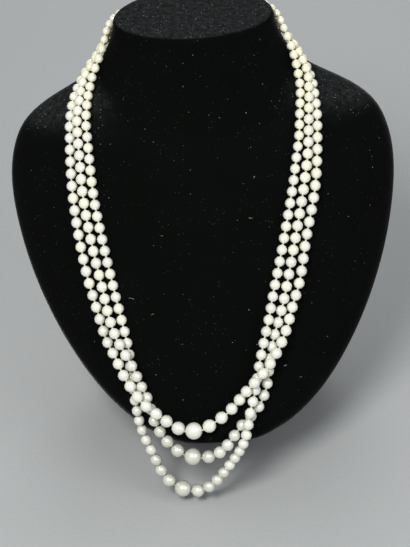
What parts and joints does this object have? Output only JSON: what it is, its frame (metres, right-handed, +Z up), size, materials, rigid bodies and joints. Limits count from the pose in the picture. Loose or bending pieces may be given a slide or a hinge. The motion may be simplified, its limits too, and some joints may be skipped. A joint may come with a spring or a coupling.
{
  "type": "multi strand necklace on a neck bust",
  "caption": "Graduated white pearl strands, knotted between the pearls, fall in nested loops from a shared clasp and are worn on a plain black velvet neck bust with a flat base.",
  "frame": {"origin": "on the table, under the middle of the whole piece's bounding box", "axes": "+Z up, the chest faces -Y, +X to the viewer's right"},
  "size_m": [0.193, 0.1602, 0.213],
  "materials": {
    "velvet": "black short-pile velvet over a smooth form",
    "pearl": "white nacre, soft high lustre",
    "silk": "matt white silk beading thread",
    "clasp_metal": "gold-coloured, satin"
  },
  "bodies": {
    "root": {"neck_bust": "velvet", "short_strand_pearls": "pearl", "middle_strand_pearls": "pearl", "long_strand_pearls": "pearl", "short_centre_pearl": "pearl", "middle_centre_pearl": "pearl", "long_centre_pearl": "pearl", "short_strand_nape": "pearl", "middle_strand_nape": "pearl", "long_strand_nape": "pearl", "short_strand_thread": "silk", "middle_strand_thread": "silk", "long_strand_thread": "silk", "clasp": "clasp_metal"}
  },
  "joints": []
}
